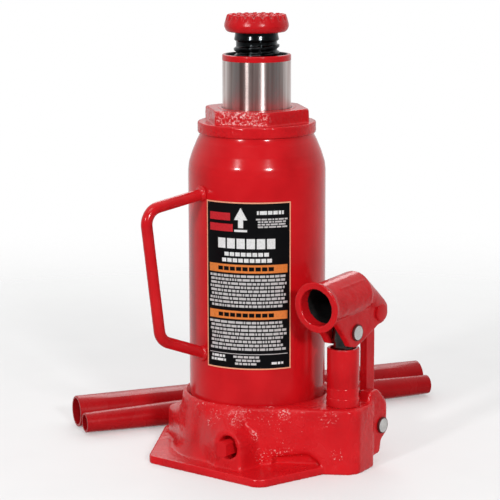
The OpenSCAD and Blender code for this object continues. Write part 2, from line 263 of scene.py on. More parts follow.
class Look:
    """A material and short ways to add the nodes that it is made of."""

    def __init__(self, name):
        self.material = bpy.data.materials.new(name)
        self.material.use_nodes = True
        self.tree = self.material.node_tree
        self.shader = self.tree.nodes["Principled BSDF"]
        self.place = self.tree.nodes.new("ShaderNodeTexCoord").outputs["Object"]

    def set(self, **values):
        for name, value in values.items():
            self.shader.inputs[name.replace("_", " ")].default_value = value

    def link(self, output, socket):
        self.tree.links.new(output, socket)

    def feed(self, source, socket):
        """Links the output of a node, or sets a plain number or colour."""
        if isinstance(source, tuple):
            socket.default_value = (*source, 1)
        elif isinstance(source, float):
            socket.default_value = source
        else:
            self.link(source, socket)

    def feed_shader(self, colour, roughness):
        self.link(colour, self.shader.inputs["Base Color"])
        self.link(roughness, self.shader.inputs["Roughness"])

    def stretched(self, scale):
        """The place, with noise on it drawn out along the axes whose scale is small."""
        mapping = self.tree.nodes.new("ShaderNodeMapping")
        mapping.inputs["Scale"].default_value = scale
        self.link(self.place, mapping.inputs["Vector"])
        return mapping.outputs["Vector"]

    def noise(self, size, detail=2.0, roughness=0.5, place=None):
        """Noise whose lumps are about that many millimetres across."""
        node = self.tree.nodes.new("ShaderNodeTexNoise")
        node.inputs["Scale"].default_value = 1 / (size * MM)
        node.inputs["Detail"].default_value = detail
        node.inputs["Roughness"].default_value = roughness
        self.link(place or self.place, node.inputs["Vector"])
        return node.outputs["Fac"]

    def ramp(self, source, stops):
        """stops is a list of (position, colour or grey)."""
        node = self.tree.nodes.new("ShaderNodeValToRGB")
        while len(node.color_ramp.elements) < len(stops):
            node.color_ramp.elements.new(0.5)
        for element, (position, colour) in zip(node.color_ramp.elements, stops):
            element.position = position
            element.color = (*colour, 1) if isinstance(colour, tuple) else (colour, colour, colour, 1)
        self.link(source, node.inputs["Fac"])
        return node.outputs["Color"]

    def between(self, source, low, high):
        """Noise turned into a number between low and high."""
        node = self.tree.nodes.new("ShaderNodeMapRange")
        node.inputs["From Min"].default_value = 0.3
        node.inputs["From Max"].default_value = 0.7
        node.inputs["To Min"].default_value = low
        node.inputs["To Max"].default_value = high
        self.link(source, node.inputs["Value"])
        return node.outputs["Result"]

    def blend(self, a, b, share):
        """Colour b over colour a."""
        node = self.tree.nodes.new("ShaderNodeMix")
        node.data_type = "RGBA"
        factor, first, second = node.inputs[0], node.inputs[6], node.inputs[7]
        self.link(share, factor)
        self.link(a, first)
        self.feed(b, second)
        return node.outputs[2]

    def both(self, operation, a, b):
        node = self.tree.nodes.new("ShaderNodeMath")
        node.operation = operation
        self.link(a, node.inputs[0])
        self.feed(b, node.inputs[1])
        return node.outputs[0]

    def times(self, a, b):
        return self.both("MULTIPLY", a, b)

    def greater(self, a, b):
        return self.both("MAXIMUM", a, b)

    def slope(self, source, start, end):
        """0 where the source is start, and 1 where it is end, which are distances in millimetres."""
        node = self.tree.nodes.new("ShaderNodeMapRange")
        node.inputs["From Min"].default_value = start * MM
        node.inputs["From Max"].default_value = end * MM
        self.link(source, node.inputs["Value"])
        return node.outputs["Result"]

    def near(self, place, radius):
        """1 at a place in millimetres, falling to 0 at the radius."""
        node = self.tree.nodes.new("ShaderNodeVectorMath")
        node.operation = "DISTANCE"
        self.link(self.place, node.inputs[0])
        node.inputs[1].default_value = Vector(place) * MM
        return self.slope(node.outputs["Value"], radius, 0.55 * radius)

    def bump(self, *layers):
        """Each layer is (height, depth in millimetres)."""
        normal = None
        for height, depth in layers:
            node = self.tree.nodes.new("ShaderNodeBump")
            node.inputs["Strength"].default_value = 1
            node.inputs["Distance"].default_value = depth * MM
            self.link(height, node.inputs["Height"])
            if normal is not None:
                self.link(normal, node.inputs["Normal"])
            normal = node.outputs["Normal"]
        self.link(normal, self.shader.inputs["Normal"])


RED = (0.66, 0.0080, 0.0130)
RED_DEEP = (0.56, 0.0060, 0.0100)
RED_LIGHT = (0.72, 0.0120, 0.0170)


def enamel(name, peel, grain=0.0, gloss=(0.10, 0.20), lump=1.5, painted_glints=(), tone=1.0, shine=0.42):
    """Red enamel: peel is the depth of its orange peel, grain that of the casting's grain under it.

    lump is the size of the grain. The glint list gives places (x, y, z, radius, density) where the casting's
    skin is coarse, and where light flecks are painted on as highlights, glints off its grain. tone is a
    factor on the red's brightness, and shine the strength of its reflections.
    """
    look = Look(name)
    deep, red, light_red = [tuple(tone * c for c in one) for one in (RED_DEEP, RED, RED_LIGHT)]
    cloud = look.noise(24, 3)
    colour = look.ramp(cloud, [(0.30, deep), (0.52, red), (0.75, light_red)])
    dust = look.ramp(look.noise(0.7, 2), [(0.70, 0.0), (0.80, 0.25)])
    colour = look.blend(colour, deep, dust)
    grains = look.noise(lump, 2, 0.6)
    coarse = None
    for x, y, z, radius, density in painted_glints:
        patch = look.near((x, y, z), radius)
        coarse = patch if coarse is None else look.greater(coarse, patch)
        # pinkish white flecks painted on as highlights: glints off the casting's grain
        glint_mask = look.ramp(look.noise(1.0, 1, 0.6), [(0.72 - density, 0.0), (0.79 - density, 0.9)])
        light = look.ramp(grains, [(0.3, (0.90, 0.16, 0.16)), (0.65, (0.97, 0.66, 0.64))])
        clusters = look.ramp(look.noise(5, 2), [(0.36, 0.15), (0.54, 1.0)])
        colour = look.blend(colour, light, look.times(glint_mask, look.times(patch, clusters)))
    look.feed_shader(colour, look.between(look.noise(9, 3), *gloss))
    layers = [(look.noise(1.6, 1), peel)]
    if grain:
        patches = look.ramp(look.noise(14, 2), [(0.42, 0.15), (0.62, 1.0)])
        if coarse is not None:
            patches = look.greater(look.times(patches, 0.25), coarse)
        layers.append((look.times(grains, patches), grain))
    look.bump(*layers)
    look.set(IOR=1.5, Specular_IOR_Level=shine)
    return look.material


def metal(name, dark, light, rough, grit, lines=None, metallic=1.0):
    """Bare metal: grit is the depth of its marks, and lines their stretch along X, Y and Z."""
    look = Look(name)
    look.set(Metallic=metallic)
    mottle = look.noise(6, 4, 0.6)
    marks = look.noise(1, 3, 0.6, look.stretched(lines)) if lines else look.noise(0.5, 3)
    colour = look.ramp(look.times(mottle, marks), [(0.12, dark), (0.42, light)])
    look.feed_shader(colour, look.between(marks, *rough))
    look.bump((marks, grit))
    return look.material


def ground_steel(name):
    """The ram: ground and polished, brownish, with long vertical bands painted lighter and darker as
    reflections, and fine marks round it.
    """
    look = Look(name)
    # painted reflection: long vertical bands, lighter and darker
    painted_reflection_bands = look.noise(4, 3, 0.6, look.stretched((1, 1, 0.02)))
    colour = look.ramp(painted_reflection_bands, [(0.38, (0.50, 0.39, 0.37)), (0.50, (0.84, 0.73, 0.70)),
                               (0.62, (0.96, 0.88, 0.86))])
    marks = look.noise(1, 3, 0.6, look.stretched((0.02, 0.02, 2.0)))
    look.feed_shader(colour, look.between(marks, 0.29, 0.33))
    look.bump((marks, 0.0004))
    look.set(Metallic=1.0, Anisotropic=1.0, Anisotropic_Rotation=0.25)
    tangent = look.tree.nodes.new("ShaderNodeTangent")
    tangent.direction_type = "RADIAL"
    tangent.axis = "Z"
    look.link(tangent.outputs[0], look.shader.inputs["Tangent"])
    return look.material


def rubber(name, tone):
    """A dull dark grey, for rubber and for the painted shade deep inside the socket's bore."""
    look = Look(name)
    colour = look.ramp(look.noise(4, 3), [(0.3, tone * 0.6), (0.7, tone * 1.5)])
    look.feed_shader(colour, look.between(look.noise(1.2, 2), 0.45, 0.65))
    look.bump((look.noise(0.4, 3), 0.02))
    return look.material


def print_ink(name, colour, gloss=(0.25, 0.4), shine=0.3):
    """One colour of the label: slightly uneven ink under a clear film."""
    look = Look(name)
    darker = tuple(c * 0.82 for c in colour)
    uneven = look.ramp(look.noise(0.8, 3), [(0.3, darker), (0.6, colour)])
    look.feed_shader(uneven, look.between(look.noise(7, 2), *gloss))
    look.bump((look.noise(2.5, 2), 0.015))
    look.set(Specular_IOR_Level=shine)
    return look.material


# where light flecks are painted on as highlights, glints off the casting's grain: (x, y, z, radius, density)
base_painted_glints = [(-7, -44, deck - 3, 8, 0.06), (7, -44, deck - 2, 8, 0.09), (20, -42, deck - 3, 8, 0.09),
               (33, -35, deck - 5, 8, 0.07), (45, -27, deck - 4, 7, 0.06), (62, -16, deck - 4, 7, 0.09),
               (29, -34, 10.5, 5, 0.12), (36, -30, 10.5, 5, 0.13), (43, -26, 11, 5, 0.10),
               (66, -13, 12, 5, 0.08), (4, -46, 27, 5, 0.09), (45, -25, 22, 18, 0.0),
               (40, -27.5, deck - 3, 4, 0.22), (18.7, -43, 28.4, 4, 0.20), (25.5, -37, 21, 4, 0.18)]
nut_painted_glints = [(-19, -22, nut_top - 5, 8, 0.16), (1, -29, nut_top - 4, 9, 0.19),
              (10, -26, nut_top - 4, 9, 0.22), (18, -23.5, nut_top - 4, 9, 0.20)]

tank_paint = enamel("tank_paint", peel=0.012)
cast_paint = enamel("cast_paint", peel=0.02, grain=0.10, gloss=(0.12, 0.24))
base_paint = enamel("base_paint", peel=0.02, grain=0.30, gloss=(0.19, 0.30), lump=1.3, painted_glints=base_painted_glints,
                    tone=1.06, shine=0.36)
nut_paint = enamel("nut_paint", peel=0.02, grain=0.45, gloss=(0.08, 0.16), painted_glints=nut_painted_glints)
thick_paint = enamel("thick_paint", peel=0.02, grain=0.03, gloss=(0.12, 0.22))
saddle_paint = enamel("saddle_paint", peel=0.02, grain=0.06, gloss=(0.20, 0.30), shine=0.3)
# the tubes' red is darkened to 0.66 as painted shade
shaded_tube_paint = enamel("shaded_tube_paint", peel=0.015, gloss=(0.20, 0.32), tone=0.66, shine=0.3)
# painted shade for the deep part of the socket's bore
bore_painted_shade = rubber("bore_painted_shade", 0.012)
seal_rubber = rubber("seal_rubber", 0.02)
ram_steel = ground_steel("ram_steel")
plain_steel = metal("plain_steel", dark=(0.42, 0.40, 0.39), light=(0.72, 0.70, 0.69), rough=(0.22, 0.34),
                    grit=0.004, lines=(0.05, 0.05, 2.0))
# dark steel for the pump plunger: partly oil, partly painted shade of the gap between the lever's cheeks
oily_shaded_steel = metal("oily_shaded_steel", dark=(0.08, 0.075, 0.07), light=(0.34, 0.32, 0.31), rough=(0.16, 0.26),
                   grit=0.002)
black_oxide = metal("black_oxide", dark=(0.016, 0.018, 0.020), light=(0.060, 0.066, 0.070),
                    rough=(0.11, 0.19), grit=0.006)
zinc_steel = metal("zinc_steel", dark=(0.62, 0.61, 0.59), light=(0.90, 0.89, 0.87), rough=(0.28, 0.42),
                   grit=0.006, metallic=0.3)
ball_steel = metal("ball_steel", dark=(0.68, 0.68, 0.69), light=(0.80, 0.80, 0.81), rough=(0.05, 0.10),
                   grit=0.001)
spring_steel = metal("spring_steel", dark=(0.22, 0.22, 0.24), light=(0.42, 0.42, 0.45), rough=(0.25, 0.4),
                     grit=0.01, lines=(0.1, 0.1, 6.0))
pin_shadow = metal("pin_shadow", dark=(0.06, 0.010, 0.010), light=(0.16, 0.02, 0.02), rough=(0.35, 0.5),
                   grit=0.004, metallic=0.2)
copper = metal("copper", dark=(0.52, 0.20, 0.10), light=(0.82, 0.40, 0.24), rough=(0.3, 0.45), grit=0.005)
film_black = print_ink("film_black", (0.004, 0.004, 0.005), gloss=(0.3, 0.42), shine=0.12)
ink_orange = print_ink("ink_orange", (0.83, 0.24, 0.05))
ink_grey = print_ink("ink_grey", (0.62, 0.60, 0.60))
ink_white = print_ink("ink_white", (0.86, 0.86, 0.86))
ink_red = print_ink("ink_red", (0.62, 0.02, 0.03))
ink_edge = print_ink("ink_edge", (0.98, 0.44, 0.27))

slot_looks = {"cast_paint": cast_paint, "tank_paint": tank_paint, "ram_steel": plain_steel,
              "black_oxide": black_oxide, "zinc_steel": zinc_steel, "ball_steel": ball_steel,
              "spring_steel": spring_steel, "seal_rubber": seal_rubber, "copper": copper,
              "label_film": film_black}
for subpart in frame["record"]["subparts"]:
    solid = frame["nodes"][subpart["node"]]
    # the pump plunger gets the dark steel, partly oil and partly painted shade
    oily_and_shaded = subpart["node"] == "pump_plunger"
    solid.data.materials.clear()
    solid.data.materials.append(oily_shaded_steel if oily_and_shaded else slot_looks[subpart["material_slot"]])
    for face in solid.data.polygons:
        face.material_index = 0
valve_edge = frame["nodes"]["release_valve"].modifiers.new("edge", "BEVEL")
valve_edge.width = 0.5 * MM
valve_edge.segments = 3


# ---------------------------------------------------------------- base and its valve

core_r = 41.5  # nothing is added to the base inside this radius, where its recess and its passages are


def base_grain(place, normal):
    """The base is roughest along its upper edge and low on its walls."""
    if math.hypot(place[0], place[1]) < tank_r + 0.5:
        return 0
    edge = max(0, 1 - abs(place[2] - (deck - 3)) / 5)
    patch = noise.noise(Vector(place) / 13 + Vector((4.2, 0, 1.7)))
    return min(1, 0.3 + 0.7 * edge + max(0, patch))


def add_hull(bm, corners):
    """A solid that closes tightly round the corners."""
    verts = [bm.verts.new(corner) for corner in corners]
    result = bmesh.ops.convex_hull(bm, input=verts)
    bmesh.ops.delete(bm, geom=list({*result["geom_interior"], *result["geom_unused"]}), context="VERTS")


def slice_off(bm, place, way):
    """Takes away all of a closed mesh that lies beyond the plane, and closes it again."""
    geometry = [*bm.verts, *bm.edges, *bm.faces]
    bmesh.ops.bisect_plane(bm, geom=geometry, plane_co=place, plane_no=way, clear_outer=True)
    bmesh.ops.holes_fill(bm, edges=[edge for edge in bm.edges if edge.is_boundary])


def base_softness(place, normal):
    """The shoulders of the walls, the valve's cheek and the left lobe are much rounder than the rest."""
    x, y, z = place
    in_tank_groove = math.hypot(x, y) < tank_r + 2.5
    in_pump_seat = math.hypot(x - pump.x, y) < 9.5
    at_link_ears = x > pump.x + 1 and y > 4
    if in_tank_groove or in_pump_seat or at_link_ears:
        return 0
    shoulder = min(1, max(0, (z - (deck - 11)) / 6))
    cheek = min(1, max(0, (z - 5.5) / 2)) if y < -30 and -32 < x < 24 else 0
    undercut = 1 if x > 22 and y < -6 and 5.2 < z < 18 else 0
    lobe = min(1, max(0, (z - 7) / 3)) if x < -22 and abs(y) < 40 else 0
    return max(shoulder, cheek, undercut, lobe)


def soften(made, share, iterations):
    """Smooths the surface by the share that share(place, normal) gives for each of its points."""
    places, normals = points_of(made)
    group = made.vertex_groups.new(name="soft")
    for i, place in enumerate(places):
        part = share(place, normals[i])
        if part > 0:
            group.add([i], part, "REPLACE")
    smooth = made.modifiers.new("soften", "SMOOTH")
    smooth.factor = 0.5
    smooth.iterations = iterations
    smooth.vertex_group = "soft"
    settle(made)
    made.vertex_groups.clear()


def wall_foot():
    """The fillet from the wall to the foot plate. There is none along the front of the pump block."""
    block_way = Vector((0.521, -0.853, 0))
    block_front = 43.5
    block_left_x = 33
    bm = bmesh.new()
    add_lathe(bm, [(core_r, 0.5), (48.5, 0.5), (48, 5), (46.3, 7.5), (45, 11), (core_r, 11)])
    slice_off(bm, block_way * block_front, block_way)
    slice_off(bm, Vector((block_left_x, 0, 0)), (1, 0, 0))
    return bm


def valve_cheek():
    """The metal that joins the valve's boss to the round wall, on its left and over its top."""
    front = boss_face_y + 0.1
    bm = bmesh.new()
    add_hull(bm, [(9.5, front, 1), (-27, -36.5, 1), (-10, -30, 1), (26.5, front, 1), (24, -34, 1),
                  (10.5, front, 18), (14, front, 23.5), (19, front, 25.5), (24, front, 22),
                  (26.5, front, 15), (6, front + 2.5, 24), (-27, -34.5, 27), (-12, -39.5, 34),
                  (8, -42, 34), (20, -38, 32)])
    return bm


def left_lobe():
    """The lobe runs out of the round wall without a crease, and slopes down to its outer edge."""
    corners = [(-55.5, side * 9, z) for side in (-1, 1) for z in (4, 19)]
    corners += [(x, side * y, z) for side in (-1, 1) for x, y in ((-54, 13), (-50, 17.5)) for z in (4, 18.5)]
    turn = [math.radians(k) for k in range(105, 256, 5)]
    for z, r in ((4, 45.6), (19, 44.4), (27, 43.5)):
        corners += [(r * math.cos(a), r * math.sin(a), z) for a in turn]
    bm = bmesh.new()
    add_hull(bm, corners)
    lobe = piece("lobe", bm)
    core = bmesh.new()
    add_lathe(core, [(0, -1), (core_r, -1), (core_r, 40), (0, 40)], closed=False)
    cut(lobe, core)
    return lobe


def base_knives():
    """A shallow groove that the tank stands in, and the recess round the release valve."""
    bm = bmesh.new()
    groove_z = deck - 1.6
    inner_r = tank_r - 0.4
    add_lathe(bm, [(inner_r, groove_z), (tank_r + 1.5, groove_z), (tank_r + 2.0, deck + 1),
                   (inner_r, deck + 1)])
    recess_r = 6.2
    stem_r = 4.6
    into_boss = Matrix.Translation((valve.x, boss_face_y, valve.z)) @ Matrix.Rotation(-math.pi / 2, 4, "X")
    add_lathe(bm, [(0, -1), (recess_r + 0.2, -1), (recess_r, 0.6), (recess_r, 8), (stem_r, 8),
                   (stem_r, 27), (0, 27)], into_boss, 64, closed=False)
    return bm


def build_base():
    """The CAD solid with soft transitions added, its edges rounded and its skin roughened."""
    made = copy_of("base_body", "base_casting")
    add_to(made, wall_foot())
    add_to(made, valve_cheek())
    absorb(made, left_lobe())
    cut(made, base_knives())
    remesh(made, 0.75, 4, 0.6)
    soften(made, base_softness, 60)
    roughen(made, 0.22, 1.9, base_grain)
    finish_piece(made, "base", [base_paint], "base_casting", angle=None)


# ---------------------------------------------------------------- tank, nut and grip

def build_tank():
    shoulder = [(tank_r, tank_low.z), (tank_r, 163.5), (tank_r - 0.5, 168), (tank_r - 2.4, 174),
                (tank_r - 4.9, 180), (tank_r - 6.5, tank_high.z)]
    outside = rounded(shoulder, 14, steps=8)
    # a thin lip closes the joint under the nut
    lip_z = flange_z - 0.04
    outside += [(tank_r - 6.6, lip_z), (tank_r - 6.85, lip_z), (tank_r - 6.85, tank_high.z)]
    inside = [(tank_r - 9.5, tank_high.z), (tank_r - 7.5, 178.5), (tank_r - 4.8, 172), (tank_r - 2.9, 167),
              (tank_r - 2.5, 162.5), (tank_r - 2.5, tank_low.z)]
    bm = bmesh.new()
    add_lathe(bm, outside + inside, segments=192)
    made = piece("tank_shell", bm)
    finish_piece(made, "base", [tank_paint], "oil_tank")


def nut_grain(place, normal):
    """The hexagon's sides are rough from the casting, and its top is turned smooth."""
    if abs(normal[2]) > 0.8 or math.hypot(place[0], place[1]) < 25:
        return 0.1
    patch = noise.noise(Vector(place) / 16 + Vector((9.1, 2.0, 0)))
    return min(1, 0.35 + max(0, patch) * 1.6)


def round_over(bm, r, z, radius, way):
    """A ring that rounds off the outer edge at that radius and height.

    way is 1 for an upper edge and -1 for a lower one.
    """
    arc = rounded([(r, z - way * radius), (r, z), (r - radius, z)], radius, steps=8)
    add_lathe(bm, [*arc, (r - radius, z + way), (r + 1, z + way), (r + 1, z - way * radius)], segments=128)


def build_nut():
    made = copy_of("nut_body", "tank_nut")
    knives = bmesh.new()
    round_over(knives, flange_r, flange_z, 2.2, -1)
    round_over(knives, flange_r, flange_top, 1.6, 1)
    cut(made, knives)
    remesh(made, 0.5, 4, 0.5)
    roughen(made, 0.34, 1.5, nut_grain, 5.0)
    # a thin lip over the wiper
    lip = bmesh.new()
    lip_z = nut_top - 0.36
    add_lathe(lip, [(ram_r + 0.35, lip_z), (ram_r + 3, lip_z), (ram_r + 2.8, nut_top + 0.05),
                    (ram_r + 0.5, nut_top)], segments=128)
    add_to(made, lip)
    finish_piece(made, "base", [nut_paint, cast_paint], "tank_nut", angle=None)
    assign(made, lambda place, normal: 1 if place.z < flange_top + 0.4 else 0)


def build_grip():
    """The bent rod, with a ring of weld beads round each of its two feet."""
    made = copy_of("grip_rod", "carry_handle")
    draw = random.Random(11)
    foot_heights = (153.2, 63.0)
    feet_turn = Matrix.Rotation(math.radians(256.3), 3, "Z")
    bead_count = 14
    ring_width, ring_height = 3.4, 3.6
    beads = bmesh.new()
    for height in foot_heights:
        for k in range(bead_count):
            a = 2 * math.pi * k / bead_count
            side, lift = ring_width * math.cos(a), ring_height * math.sin(a)
            place = feet_turn @ Vector((tank_r + 0.6, side, height + lift))
            bead_r = draw.uniform(0.9, 1.4)
            bmesh.ops.create_icosphere(beads, subdivisions=3, radius=bead_r, matrix=Matrix.Translation(place))
    add_to(made, beads)
    remesh(made, 0.45, 3, 0.5)
    roughen(made, 0.12, 3.0, lambda place, normal: 1 if math.hypot(place[0], place[1]) < tank_r + 4 else 0.35)
    finish_piece(made, "base", [thick_paint], "carry_handle", angle=None)


build_base()
build_tank()
build_nut()
build_grip()


# ---------------------------------------------------------------- ram, screw and saddle

def build_ram():
    """The rod is bare steel up to a painted crown, and black in its bore round the screw."""
    paint_edge = ram_top - 3.3
    paint_r = ram_r + 0.07
    recess = ram_top - 1.8
    foot = ram_low.z
    outside = [(16, foot), (16, foot + 5.5), (ram_high.x, foot + 5.5), (ram_high.x, foot + 10.3),
               (ram_r, foot + 10.9), (ram_r, paint_edge - 0.05), (paint_r, paint_edge + 0.15)]
    crown = rounded([(paint_r, paint_edge + 0.3), (paint_r, ram_top), (17.2, ram_top), (17.0, recess)],
                    [0, 2.2, 0.4, 0], steps=8)
    bore = [(screw_r + 0.1, recess - 0.2), (screw_r + 0.1, ram_top - 20), (15, ram_top - 20),
            (15, foot + 67), (3.1, foot + 67), (3.1, foot + 16), (3.1, foot)]
    bm = bmesh.new()
    add_lathe(bm, outside + crown + bore, segments=192)
    made = piece("ram_rod", bm)

    def choose(place, normal):
        steel, painted, black = range(3)
        reach = math.hypot(place.x, place.y)
        if reach > 17.6 and place.z > paint_edge:
            return painted
        return black if reach < 18 and place.z > ram_top - 19 else steel

    finish_piece(made, "ram", [ram_steel, tank_paint, black_oxide], "ram")
    assign(made, choose)


def build_screw():
    """A thread of its own up to a groove, and a plain neck above it under the saddle."""
    pitch = 4.0
    step = 0.4
    segments = 96
    root = screw_r - 1.3
    neck_r = screw_r - 0.25
    neck_z = saddle_low.z - 5.2
    groove_z = neck_z - 1.7
    collar_z = screw_low.z + 1.9
    relief_r = 11.1
    start_z = screw_low.z + 5

    def radius(angle, z):
        if z < collar_z:
            return screw_r - max(0, 0.8 - (z - screw_low.z))
        if z < start_z:
            return relief_r
        if z < groove_z:
            turn = (z / pitch - angle / (2 * math.pi)) % 1.0
            crest = 0.5 + 0.5 * math.cos(2 * math.pi * turn)
            return root + (screw_r - root) * min(1.0, max(0.0, 1.7 * crest - 0.3))
        if z < neck_z:
            return root
        return min(neck_r, root + 1.1 * (z - neck_z), neck_r - 0.2 * min(2.4, z - neck_z - 1.2))

    bm = bmesh.new()
    rings = []
    for level in range(int((screw_high.z - 6 - screw_low.z) / step) + 1):
        z = screw_low.z + step * level
        ring = []
        for angle in [2 * math.pi * k / segments for k in range(segments)]:
            r = radius(angle, z)
            ring.append(bm.verts.new((r * math.cos(angle), r * math.sin(angle), z)))
        rings.append(ring)
    for lower, upper in zip(rings, rings[1:]):
        for k in range(segments):
            bm.faces.new((lower[k], lower[(k + 1) % segments], upper[(k + 1) % segments], upper[k]))
    bm.faces.new(list(reversed(rings[0])))
    bm.faces.new(rings[-1])
    made = piece("extension_screw_thread", bm)
    finish_piece(made, "screw", [black_oxide], "extension_screw", angle=50)


def build_saddle():
    """A forged cap whose top is cut into a grid of blunt teeth."""
    low, top = saddle_low.z, saddle_high.z
    profile = rounded([(0, low), (saddle_r - 1.4, low), (saddle_r, low + 3.2), (saddle_r - 0.3, low + 5),
                       (saddle_r - 1.7, top), (0, top)], [0, 2.6, 4, 4, 1.0, 0], steps=6)
    bm = bmesh.new()
    add_lathe(bm, profile, segments=160, closed=False)
    made = piece("saddle_cap", bm)
    remesh(made, 0.4, 3, 0.5)
    tooth_height = 2.0
    tooth_r = 1.85
    outer_ring = saddle_r - 3.0
    teeth = [(0.0, 0.0)]
    for ring, count in ((outer_ring / 3, 7), (outer_ring * 2 / 3, 13), (outer_ring, 20)):
        for angle in [2 * math.pi * (k + 0.3) / count for k in range(count)]:
            teeth.append((ring * math.cos(angle), ring * math.sin(angle)))
    places = points_of(made)[0]
    reach = np.hypot(places[:, 0], places[:, 1])
    # outside the last ring the teeth run on to the edge
    drawn_in = np.minimum(1, outer_ring / np.maximum(reach, 0.01))
    across, along = places[:, 0] * drawn_in, places[:, 1] * drawn_in
    nearest = np.min([np.hypot(across - x, along - y) for x, y in teeth], axis=0)
    share = np.clip((places[:, 2] - (top - 3.6)) / 2.2, 0, 1)
    places[:, 2] -= tooth_height * share * (1 - np.exp(-(nearest / tooth_r) ** 4))
    move_points(made, places)
    roughen(made, 0.07, 3.0, None, 2.0)
    finish_piece(made, "screw", [saddle_paint], "saddle", angle=None)


build_ram()
build_screw()
build_saddle()


# ---------------------------------------------------------------- label

def label_layout(width, height):
    """Rectangles (left, right, top, bottom, ink) in millimetres from the label's upper left corner.

    Heights are written as shares of the label's height. Later rectangles lie over earlier ones.
    """
    black, orange, grey, white, red, edge = range(6)
    draw = random.Random(4)
    marks = [(0, width, 0, height, edge), (0.7, width - 0.7, 0.7, height - 0.7, black)]

    def print_rows(left, right, top, bottom, rows, ink, cell=0.5):
        """Rows of small blocks that stand for print."""
        step = (bottom - top) / rows
        for row in range(rows):
            x = left + cell * draw.randrange(0, 4)
            end = right - cell * draw.randrange(0, 7)
            while x < end - 2 * cell:
                word = cell * draw.choice((2, 3, 4, 5, 6, 8))
                marks.append((x, min(x + word, end), top + row * step, top + (row + 0.62) * step, ink))
                x += word + cell

    def up_arrow(x, top, bottom, half, ink, steps=10):
        """A plain arrow that points up, over a bar."""
        head = 0.5 * (bottom - top)
        for k in range(steps):
            reach = half * (k + 1) / steps
            marks.append((x - reach, x + reach, top + head * k / steps, top + head * (k + 1) / steps, ink))
        marks.append((x - 0.4 * half, x + 0.4 * half, top + head, bottom - 2.2, ink))
        marks.append((x - half, x + half, bottom - 1.2, bottom, ink))

    h, w = height, width
    marks += [(2.5, 15.5, 0.065 * h, 0.110 * h, red), (2.5, 17.0, 0.130 * h, 0.175 * h, red)]
    up_arrow(21.5, 0.035 * h, 0.175 * h, 3.6, white)
    print_rows(30, w - 2, 0.05 * h, 0.085 * h, 1, white)
    print_rows(30, w - 2, 0.095 * h, 0.155 * h, 4, grey)
    marks += [(8 + 5.6 * k, 12.6 + 5.6 * k, 0.215 * h, 0.275 * h, white) for k in range(6)]
    marks += [(12 + 3.2 * k, 14.6 + 3.2 * k, 0.297 * h, 0.320 * h, white) for k in range(8)]
    marks += [(10.5 + 3.2 * k, 13.1 + 3.2 * k, 0.333 * h, 0.356 * h, white) for k in range(9)]
    for top in (0.370 * h, 0.647 * h):
        marks.append((2.0, w - 2.0, top, top + 0.050 * h, orange))
        marks += [(8 + 3.6 * k, 11 + 3.6 * k, top + 0.013 * h, top + 0.037 * h, black) for k in range(9)]
    print_rows(2, w - 2, 0.432 * h, 0.634 * h, 9, grey)
    print_rows(2, w - 2, 0.710 * h, 0.893 * h, 8, grey)
    marks.append((2, w - 2, 0.905 * h, 0.909 * h, grey))
    print_rows(2, 14, 0.918 * h, 0.965 * h, 2, white)
    print_rows(17, 34, 0.918 * h, 0.980 * h, 3, grey)
    print_rows(38, w - 2, 0.955 * h, 0.978 * h, 1, white)
    return marks


def build_label():
    """A film bent round the tank, whose faces are laid out along the edges of what is printed on it."""
    middle_angle = math.radians(-60.4)
    half_angle = math.radians(36.8)
    thickness = 0.16
    width, height = 2 * half_angle * film_r, label_high.z - label_low.z
    marks = label_layout(width, height)
    across = sorted({round(x, 3) for mark in marks for x in mark[:2]} | {width * k / 60 for k in range(61)})
    down = sorted({round(y, 3) for mark in marks for y in mark[2:4]})
    ink = np.zeros((len(across) - 1, len(down) - 1), int)
    centres_x = np.array([(a + b) / 2 for a, b in zip(across, across[1:])])
    centres_y = np.array([(a + b) / 2 for a, b in zip(down, down[1:])])
    for left, right, top, bottom, colour in marks:
        inside = np.outer((centres_x > left) & (centres_x < right), (centres_y > top) & (centres_y < bottom))
        ink[inside] = colour
    bm = bmesh.new()

    def sheet(r):
        turn = [middle_angle - half_angle + x / film_r for x in across]
        return [[bm.verts.new((r * math.cos(a), r * math.sin(a), label_high.z - y)) for a in turn]
                for y in down]

    front, back = sheet(film_r), sheet(film_r - thickness)
    for j in range(len(down) - 1):
        for i in range(len(across) - 1):
            face = bm.faces.new((front[j][i], front[j + 1][i], front[j + 1][i + 1], front[j][i + 1]))
            face.material_index = int(ink[i, j])
            bm.faces.new((back[j][i], back[j][i + 1], back[j + 1][i + 1], back[j + 1][i]))
    # the four thin edges
    for j in range(len(down) - 1):
        bm.faces.new((front[j][0], back[j][0], back[j + 1][0], front[j + 1][0]))
        bm.faces.new((front[j][-1], front[j + 1][-1], back[j + 1][-1], back[j][-1]))
    for i in range(len(across) - 1):
        bm.faces.new((front[0][i], front[0][i + 1], back[0][i + 1], back[0][i]))
        bm.faces.new((front[-1][i], back[-1][i], back[-1][i + 1], front[-1][i + 1]))
    made = piece("label_print", bm)
    inks = [int(face.material_index) for face in made.data.polygons]
    finish_piece(made, "base",
                 [film_black, ink_orange, ink_grey, ink_white, ink_red, ink_edge], "label")
    made.data.polygons.foreach_set("material_index", inks)


build_label()


# ---------------------------------------------------------------- lever pump

